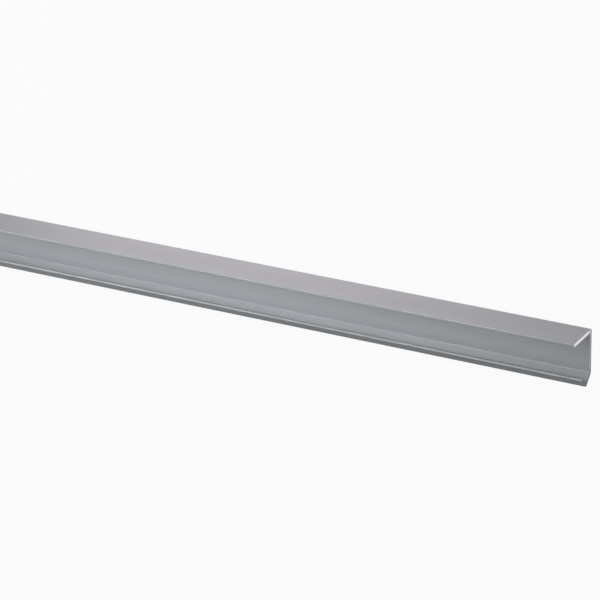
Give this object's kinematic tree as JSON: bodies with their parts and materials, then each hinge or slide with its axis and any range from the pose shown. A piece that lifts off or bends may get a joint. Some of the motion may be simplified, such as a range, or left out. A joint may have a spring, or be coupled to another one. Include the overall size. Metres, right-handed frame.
{
  "type": "hooked aluminium channel profile",
  "caption": "Length of silver anodised aluminium extrusion: a flat web with a square flange on one edge and a V-shaped hooked lip on the other.",
  "frame": {"origin": "middle of the bounding box, on the outer face of the web that the stock lies on", "axes": "+X along the stock, +Y towards the square flange, +Z out of the channel"},
  "size_m": [1, 0.027, 0.0193],
  "materials": {
    "silver_anodised": "satin silver anodised, fine lengthwise die lines, sawn ends bare"
  },
  "bodies": {
    "root": {"channel_profile": "silver_anodised"}
  },
  "joints": []
}
